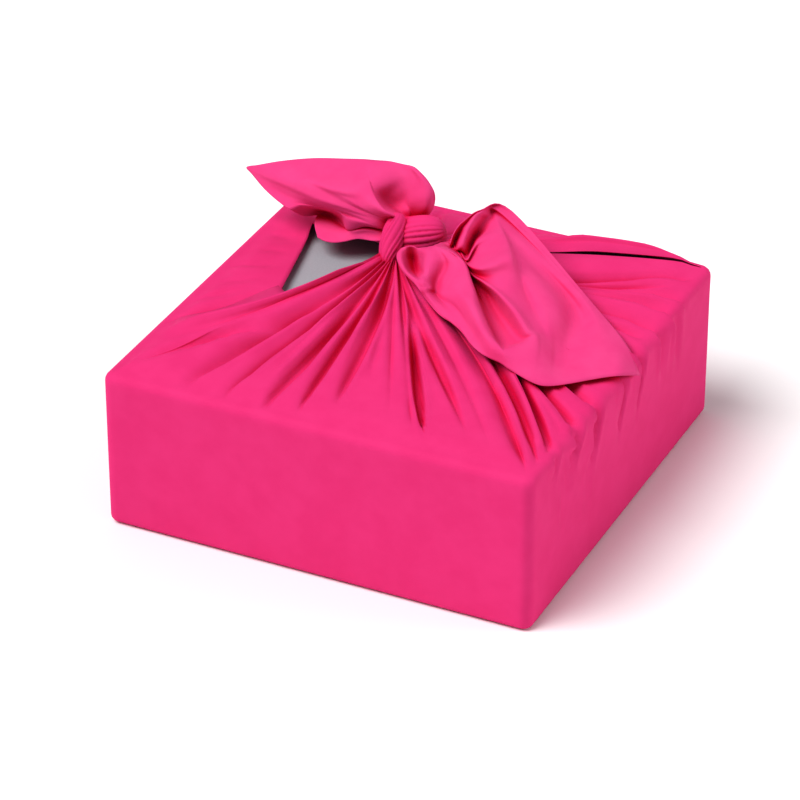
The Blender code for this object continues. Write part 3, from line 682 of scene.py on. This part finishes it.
def looseness(place, over):
    """Slack of the cloth off the box down its right side."""
    aside = abs(rim_gap(place, rim_place(*LOOSE_MIDDLE)))
    return LOOSE * smooth((LOOSE_REACH - aside) / LOOSE_EASE) * smooth(1 - over / LOOSE_DROP)


def rim_places():
    """Places round the rim for the mesh's columns: closest in the folds, exact at the openings."""
    fine = np.arange(0.0, GIRTH, RIM_STEP)
    close = np.zeros(fine.shape)
    for edge, along, lean, _, _, wide, _, _, _, _ in FOLDS:
        foot = rim_place(edge, along)
        gap = np.minimum(abs(rim_gap(fine, foot)), abs(rim_gap(fine, foot + lean / 3)))
        close = np.maximum(close, np.exp(-((gap / (FOLD_MARGIN * wide)) ** 4)))
    for corner in range(4):
        close = np.maximum(close, np.exp(-((rim_gap(fine, corner * SIDE) / CORNER_MARGIN) ** 4)))
    weight = mix(1 / COLUMN_SPACING, 1 / FOLD_SPACING, close)
    run = np.concatenate(([0.0], np.cumsum(weight) * RIM_STEP))
    count = int(run[-1])
    places = np.interp(np.arange(count) * run[-1] / count, run, np.append(fine, GIRTH))
    for end in (LEFT_FRONT, LEFT_REAR, RIGHT_FRONT, RIGHT_REAR):
        exact = rim_place(*end)
        places[np.argmin(abs(rim_gap(places, exact)))] = exact
    return places


def lid_rows(places):
    """The cloth over the lid, from the neck past the hem line to the rim."""
    place = places[:, None]
    middle = midways(places)[:, None]
    inner = np.linspace(0.0, 1.0, INNER_ROWS + 1)[None, :]
    outer = np.linspace(0.0, 1.0, OUTER_ROWS + 1)[None, 1:]
    part = np.concatenate((middle * inner, mix(middle, 1.0, outer)), axis=1)

    start_x, start_y = (value[:, None] for value in neck_points(places))
    end_x, end_y = (value[:, None] for value in outline(places, TOP_EDGE))
    length = np.hypot(end_x - start_x, end_y - start_y)
    bow = bowed(place, part) / length
    x = mix(start_x, end_x, part) - (end_y - start_y) * bow
    y = mix(start_y, end_y, part) + (end_x - start_x) * bow

    short_of_rim = (1 - part) * length
    spread = np.clip(spreads(places, part), LEAST_SPREAD, 1.0)
    climb = NECK_RISE * climbs(place) * sunk(place, part) * (1 - part) ** CLIMB_POWER
    slack = looseness(place, 0.0)
    puffed = PUFF * slack * smooth(rim_gap(place, rim_place(*PUFF_FROM)) / PUFF_EASE)
    lift = mix(slack, LIFT + puffed, smooth(short_of_rim / LIFT_REACH))
    folds = folded(place, part, short_of_rim, spread, travelled(places, x, y))
    rise = climb + lift + rolled(place, part) + folds + pleated(place, part)
    return np.stack((x, y, TOP + settled(rise)), axis=2)


def side_rows(place):
    """The cloth round the top edge and down the sides."""
    edge_turns = np.radians(np.linspace(0, 90, EDGE_ROWS + 1))[1:]
    turn = np.concatenate((edge_turns, np.full(len(SIDE_DROPS), math.pi / 2)))[None, :]
    drop = np.concatenate((np.zeros(EDGE_ROWS), SIDE_DROPS))[None, :]
    over = TOP_EDGE * turn + drop
    away = looseness(place, over) + rolled(place, 1.0) * (1 - smooth(drop / ROLL_DROP))
    away = away + folded(place, 1.0, -over, 1.0)
    away = settled(away, DEEPEST * (1 - EDGE_HOLD * np.sin(2 * turn)))
    x, y = outline(place + 0 * turn, TOP_EDGE * (1 - np.sin(turn)) - away * np.sin(turn))
    z = TOP - TOP_EDGE * (1 - np.cos(turn)) - drop + away * np.cos(turn)
    return np.stack((x, y, z), axis=2)


def foot_rows(place):
    """The cloth round the bottom edge and in over the underside."""
    turn = np.radians(np.linspace(0, 90, FOOT_ROWS + 1))[None, :]
    x, y = outline(place + 0 * turn, BOTTOM_EDGE * (1 - np.cos(turn)))
    foot = np.stack((x, y, BOTTOM_EDGE * (1 - np.sin(turn)) + 0 * place), axis=2)
    under = [foot[:, -1] * (scale, scale, 1.0) for scale in UNDERSIDE_RINGS]
    return np.concatenate([foot, np.stack(under, axis=1)], axis=1)


def body_grid():
    """The cloth's outer face as a grid: a column for each place on the rim, from neck to underside."""
    places = rim_places()
    place = places[:, None]
    return places, np.concatenate([lid_rows(places), side_rows(place), foot_rows(place)], axis=1)


def spreads(places, part):
    """Width of the cloth for each mm of rim, measured far enough to either side to pass corners."""
    ends = []
    for shift in (-CORNER_PASS, CORNER_PASS):
        start_x, start_y = (value[:, None] for value in neck_points((places + shift) % GIRTH))
        end_x, end_y = (value[:, None] for value in outline(places + shift, TOP_EDGE))
        ends.append((mix(start_x, end_x, part), mix(start_y, end_y, part)))
    (left_x, left_y), (right_x, right_y) = ends
    return np.hypot(right_x - left_x, right_y - left_y) / (2 * CORNER_PASS)


def settled(height, deepest=DEEPEST):
    """Keeps the cloth from sinking more than deepest towards the card, softly."""
    above, clear = height + deepest, 4 * SOFTNESS
    eased = SOFTNESS * np.log1p(np.exp(np.minimum(above, clear) / SOFTNESS))
    return np.where(above > clear, above, eased) - deepest


def body_faces(places, rows):
    """Quads of the body, without those in the two openings."""
    left_first, left_last = rim_place(*LEFT_REAR), rim_place(*LEFT_FRONT)
    right_first, right_last = rim_place(*RIGHT_FRONT), rim_place(*RIGHT_REAR)
    count = len(places)
    faces = []
    for index, place in enumerate(places):
        after = (index + 1) % count
        open_rows = 0
        if left_first - SAME_PLACE <= place < left_last - SAME_PLACE:
            open_rows = INNER_ROWS
        if right_first - SAME_PLACE <= place < right_last - SAME_PLACE:
            open_rows = INNER_ROWS + OUTER_ROWS
        for row in range(open_rows, rows - 1):
            corner, beside = index * rows + row, after * rows + row
            faces.append((corner, corner + 1, beside + 1, beside))
    faces.append(tuple(index * rows + rows - 1 for index in reversed(range(count))))
    return faces


def through(points, steps):
    """Points along a smooth curve through the given ones (first axis), steps to each stretch."""
    points = np.asarray(points, float)
    ends = np.concatenate(([2 * points[0] - points[1]], points, [2 * points[-1] - points[-2]]))
    found = []
    for index in range(1, len(ends) - 2):
        before, start, end, after = ends[index - 1 : index + 3]
        slope = end - before
        bend = 2 * before - 5 * start + 4 * end - after
        turn = 3 * start - before - 3 * end + after
        for step in range(steps):
            t = step / steps
            found.append(0.5 * (2 * start + slope * t + bend * t**2 + turn * t**3))
    return np.array(found + [points[-1]])


def camera_axes():
    """The camera's right, up and forward directions."""
    sin_yaw, cos_yaw = math.sin(CAMERA_YAW), math.cos(CAMERA_YAW)
    sin_pitch, cos_pitch = math.sin(CAMERA_PITCH), math.cos(CAMERA_PITCH)
    forward = Vector((sin_yaw * cos_pitch, cos_yaw * cos_pitch, -sin_pitch))
    right = Vector((cos_yaw, -sin_yaw, 0.0))
    return right, right.cross(forward), forward


def seen(across, down, height):
    """Point at a height over the lid that the camera sees at a place in its view."""
    right, up, forward = camera_axes()
    focal = VIEW_WIDTH * CAMERA_LENS / CAMERA_SENSOR
    ray = forward + right * ((across - VIEW_WIDTH / 2) / focal) + up * ((VIEW_WIDTH / 2 - down) / focal)
    place = Vector(CAMERA_AT) / MM
    return place + ray * ((TOP + height - place.z) / ray.z)


def tent(point):
    """Height over the lid of the cloth that falls from the neck to the rim, without its folds."""
    reaches = []
    for run, start in ((point.x - NECK_X, NECK_X), (point.y - NECK_Y, NECK_Y)):
        reaches.append((math.copysign(HALF - UPRIGHT_EDGE, run) - start) / run)
    inward = max(1 - 1 / min(reaches), 0.0)
    return NECK_RISE * inward**TENT_POWER + mix(TENT_RIM, TENT_LIFT, min(1.0, inward / TENT_EASE))


def placed(across, down, height, laid=None):
    """A fold's point in the part's frame."""
    if laid is None:
        return seen(across, down, height)
    clearance, height = height, LAID_START
    for _ in range(LAID_ROUNDS):
        height = tent(seen(across, down, height)) + clearance
    return seen(across, down, height)


def end_grid(folds):
    """A free end's middle face: through every fold's course, and across them from hem to hem."""
    points = np.array([[placed(*point) for point in course] for course in folds.values()])
    courses = through(np.swapaxes(points, 0, 1), END_RUN_STEPS)
    return through(np.swapaxes(courses, 0, 1), END_GAP_STEPS)


def grid_faces(across, along):
    """Quads between the points of a grid."""
    return [
        (i * along + j, i * along + j + 1, (i + 1) * along + j + 1, (i + 1) * along + j)
        for i in range(across - 1)
        for j in range(along - 1)
    ]


def lobe_grid(centre, length, height, depth, pole, pleats, pleat_depth, twist):
    """A swollen lobe of the knot: rounded pleats with sharp creases between, from pole to pole."""
    axis = np.array(pole) / np.linalg.norm(pole)
    across = np.cross(axis, (0.0, 0.0, 1.0))
    across /= np.linalg.norm(across)
    upward = np.cross(across, axis)
    tilt = np.linspace(POLE_GAP, math.pi - POLE_GAP, LOBE_RINGS)[:, None]
    turn = np.linspace(0.0, 2 * math.pi, LOBE_SIDES, endpoint=False)[None, :]
    turned = turn + twist * np.cos(tilt)
    phase = pleats / 2 * turned
    for size, waves, shift in PLEAT_WIDTHS:
        phase = phase + size * np.sin(waves * turned + shift)
    pleat_height = 1 - PLEAT_HEIGHT + PLEAT_HEIGHT * np.sin(PLEAT_HEIGHT_WAVES * turned)
    crease = np.abs(np.sin(phase)) ** PLEAT_POWER * pleat_height - PLEAT_LEVEL
    swell = 1 + pleat_depth / height * crease * np.sin(tilt)
    out = np.sin(tilt) ** PLUMP_POWER * swell
    middle = np.array(centre) + (0.0, 0.0, TOP)
    return (
        middle
        + axis * (length * np.cos(tilt) + 0 * turn)[..., None]
        + across * (depth * out * np.cos(turn))[..., None]
        + upward * (height * out * np.sin(turn))[..., None]
    )


def lobe_faces(rings, sides):
    """Quads round a lobe, and a cap at each pole."""
    faces = []
    for ring in range(rings - 1):
        here, beyond = ring * sides, (ring + 1) * sides
        for side in range(sides):
            after = (side + 1) % sides
            faces.append((here + side, beyond + side, beyond + after, here + after))
    faces.append(tuple(range(sides)))
    faces.append(tuple((rings - 1) * sides + side for side in reversed(range(sides))))
    return faces


def normals_of(points, faces):
    """Unit normals of points, from the quads around each."""
    quads = np.array([face for face in faces if len(face) == 4])
    corner = points[quads]
    normal = np.cross(corner[:, 2] - corner[:, 0], corner[:, 3] - corner[:, 1])
    total = np.zeros(points.shape)
    for column in range(4):
        np.add.at(total, quads[:, column], normal)
    size = np.linalg.norm(total, axis=1, keepdims=True)
    return total / np.where(size > 0, size, 1.0)


def sheet_parts(points, faces, offset, thickness):
    """Two skins a cloth's thickness apart, closed at the rims. Offset moves both along the normal."""
    normal = normals_of(points, faces)
    count = len(points)
    skins = np.concatenate((points + normal * offset, points + normal * (offset - thickness)))
    back = [tuple(index + count for index in reversed(face)) for face in faces]
    edges = {(a, b) for face in faces for a, b in zip(face, face[1:] + face[:1])}
    rims = [(b, a, a + count, b + count) for a, b in edges if (b, a) not in edges]
    return skins, list(faces) + back + sorted(rims)


def cloth_object(name, parts):
    """One object from islands in millimetres, each with its points, faces and material number."""
    points, faces, materials, start = [], [], [], 0
    for part_points, part_faces, material in parts:
        points.append(part_points)
        faces += [tuple(index + start for index in face) for face in part_faces]
        materials += [material] * len(part_faces)
        start += len(part_points)
    points = np.concatenate(points) * MM
    used = np.unique(np.concatenate([np.array(face) for face in faces]))
    number = np.full(len(points), -1)
    number[used] = np.arange(len(used))
    mesh = bpy.data.meshes.new(name)
    mesh.from_pydata(points[used].tolist(), [], [tuple(number[list(face)].tolist()) for face in faces])
    mesh.polygons.foreach_set("material_index", materials)
    mesh.shade_smooth()
    item = bpy.data.objects.new(name, mesh)
    bpy.context.collection.objects.link(item)
    return item


def build_cloth():
    """The whole cloth: body, knot and both free ends, as one skin of the one real sheet."""
    places, grid = body_grid()
    rows = grid.shape[1]
    faces = body_faces(places, rows)
    parts = [(*sheet_parts(grid.reshape(-1, 3), faces, 0.0, CLOTH), 0)]
    for folds in (RIGHT_END, LEFT_END):
        grid = end_grid(folds)
        faces = grid_faces(*grid.shape[:2])
        parts.append((*sheet_parts(grid.reshape(-1, 3), faces, CLOTH / 2, CLOTH), 1))
    for lobe in LOBES:
        grid = lobe_grid(*lobe)
        parts.append((grid.reshape(-1, 3), lobe_faces(*grid.shape[:2]), 0))
    return cloth_object("wrapping_cloth", parts)


def new_material(name):
    """A material with its node tree and shader."""
    material = bpy.data.materials.new(name)
    material.use_nodes = True
    tree = material.node_tree
    return material, tree, tree.nodes["Principled BSDF"]


def noise(tree, scale, detail=2.0, roughness=0.5):
    """A noise texture on the part's own coordinates, with features 1 / scale metres across."""
    where = tree.nodes.new("ShaderNodeTexCoord")
    node = tree.nodes.new("ShaderNodeTexNoise")
    node.inputs["Scale"].default_value = scale
    node.inputs["Detail"].default_value = detail
    node.inputs["Roughness"].default_value = roughness
    tree.links.new(where.outputs["Object"], node.inputs["Vector"])
    return node.outputs["Fac"]


def ramp(tree, source, low, high, start=0.0, end=1.0):
    """Colour that goes from low to high as the source goes from start to end."""
    node = tree.nodes.new("ShaderNodeValToRGB")
    first, last = node.color_ramp.elements
    first.position = start
    first.color = low
    last.position = end
    last.color = high
    tree.links.new(source, node.inputs["Fac"])
    return node.outputs["Color"]


def relief(tree, source, strength, distance, below=None):
    """Fine relief from a texture, laid over the one below where there is one."""
    node = tree.nodes.new("ShaderNodeBump")
    node.inputs["Strength"].default_value = strength
    node.inputs["Distance"].default_value = distance
    tree.links.new(source, node.inputs["Height"])
    if below is not None:
        tree.links.new(below, node.inputs["Normal"])
    return node.outputs["Normal"]


def painted_crease_shade(tree):
    """Painted shade for creases: how open the surface is, from the piece's own shape close by."""
    node = tree.nodes.new("ShaderNodeAmbientOcclusion")
    node.inputs["Distance"].default_value = 0.009
    node.only_local = True
    node.samples = 12
    return node.outputs["AO"]


def multiplied(tree, first, second):
    """Two colours multiplied."""
    node = tree.nodes.new("ShaderNodeMix")
    node.data_type = "RGBA"
    node.blend_type = "MULTIPLY"
    node.inputs[MIX_FACTOR].default_value = 1.0
    tree.links.new(first, node.inputs[MIX_FIRST])
    tree.links.new(second, node.inputs[MIX_SECOND])
    return node.outputs[MIX_RESULT]


def pink_fabric(name, low, high):
    """Smooth stretch polyester: a fine even knit, a soft sheen, slight cloudiness of the dye, and
    painted shade in its creases.
    """
    material, tree, shader = new_material(name)
    shader.inputs["Roughness"].default_value = 0.62
    shader.inputs["Specular IOR Level"].default_value = 0.05
    shader.inputs["Sheen Weight"].default_value = 0.01
    shader.inputs["Sheen Roughness"].default_value = 0.45
    shader.inputs["Sheen Tint"].default_value = SHEEN_TINT
    clouds = ramp(tree, noise(tree, scale=55.0, detail=3.0), low, high, start=0.35, end=0.65)
    # Painted shade: the colour goes towards the tint where the cloth's own shape closes in around it
    crease_shaded = ramp(tree, painted_crease_shade(tree), CREASE_SHADE_TINT, WHITE, start=0.30, end=0.86)
    tree.links.new(multiplied(tree, clouds, crease_shaded), shader.inputs["Base Color"])
    knit = relief(tree, noise(tree, scale=1500.0, detail=1.0), strength=0.22, distance=0.0002)
    slub = relief(tree, noise(tree, scale=420.0), strength=0.12, distance=0.0004, below=knit)
    tree.links.new(slub, shader.inputs["Normal"])
    return material


def grey_card():
    """Grey covered card with a faint fibre grain."""
    material, tree, shader = new_material("grey_card")
    shader.inputs["Roughness"].default_value = 0.8
    fibres = noise(tree, scale=700.0, detail=3.0, roughness=0.6)
    tree.links.new(ramp(tree, fibres, CARD_LOW, CARD_HIGH), shader.inputs["Base Color"])
    tree.links.new(relief(tree, fibres, strength=0.2, distance=0.0002), shader.inputs["Normal"])
    return material


def build_floor():
    """The white floor that the parcel stands on."""
    corners = [(x * FLOOR_HALF, y * FLOOR_HALF, 0.0) for x, y in ((-1, -1), (1, -1), (1, 1), (-1, 1))]
    mesh = bpy.data.meshes.new("floor")
    mesh.from_pydata(corners, [], [(0, 1, 2, 3)])
    floor = bpy.data.objects.new("floor", mesh)
    floor.location.z = -FLOOR_DROP
    bpy.context.collection.objects.link(floor)
    material, _, shader = new_material("white_floor")
    shader.inputs["Base Color"].default_value = FLOOR_WHITE
    shader.inputs["Roughness"].default_value = 0.9
    floor.data.materials.append(material)
    return floor


def soft_sun(name, direction, spread, strength):
    """A large distant softbox: parallel light from direction, spread over an angle in degrees."""
    data = bpy.data.lights.new(name, "SUN")
    data.angle = math.radians(spread)
    data.energy = strength
    light = bpy.data.objects.new(name, data)
    light.location = direction
    light.rotation_euler = Vector(direction).to_track_quat("Z", "Y").to_euler()
    bpy.context.collection.objects.link(light)


def build_studio():
    """Key light from the front left, fill from the back right, and a white room."""
    soft_sun("key", direction=(-0.80, -0.98, 1.90), spread=40.0, strength=3.00)
    soft_sun("fill", direction=(2.2, 1.2, 0.8), spread=36.0, strength=1.25)
    world = bpy.data.worlds.new("studio")
    world.use_nodes = True
    back = world.node_tree.nodes["Background"]
    back.inputs["Color"].default_value = WHITE
    back.inputs["Strength"].default_value = 0.36
    bpy.context.scene.world = world
    bpy.context.scene.view_settings.view_transform = "Standard"
    bpy.context.scene.view_settings.gamma = 0.8


def build_camera():
    """The camera of the photograph."""
    right, up, forward = camera_axes()
    data = bpy.data.cameras.new("camera")
    data.lens = CAMERA_LENS
    data.sensor_width = CAMERA_SENSOR
    data.clip_end = CAMERA_REACH
    camera = bpy.data.objects.new("camera", data)
    aim = Matrix((right, up, -forward)).transposed().to_4x4()
    camera.matrix_world = Matrix.Translation(CAMERA_AT) @ aim
    bpy.context.collection.objects.link(camera)
    bpy.context.scene.camera = camera


cloth = build_cloth()
cloth.data.materials.append(pink_fabric("pink_fabric", WRAPPED_LOW, WRAPPED_HIGH))
# The free ends' material is a lighter copy of the same cloth, painted light rather than another dye
cloth.data.materials.append(pink_fabric("pink_fabric_lit_free", LIT_FREE_LOW, LIT_FREE_HIGH))
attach(cloth, "root")
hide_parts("cloth")

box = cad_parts["box"]
box.data.materials.clear()
box.data.materials.append(grey_card())

build_floor()
build_studio()
build_camera()
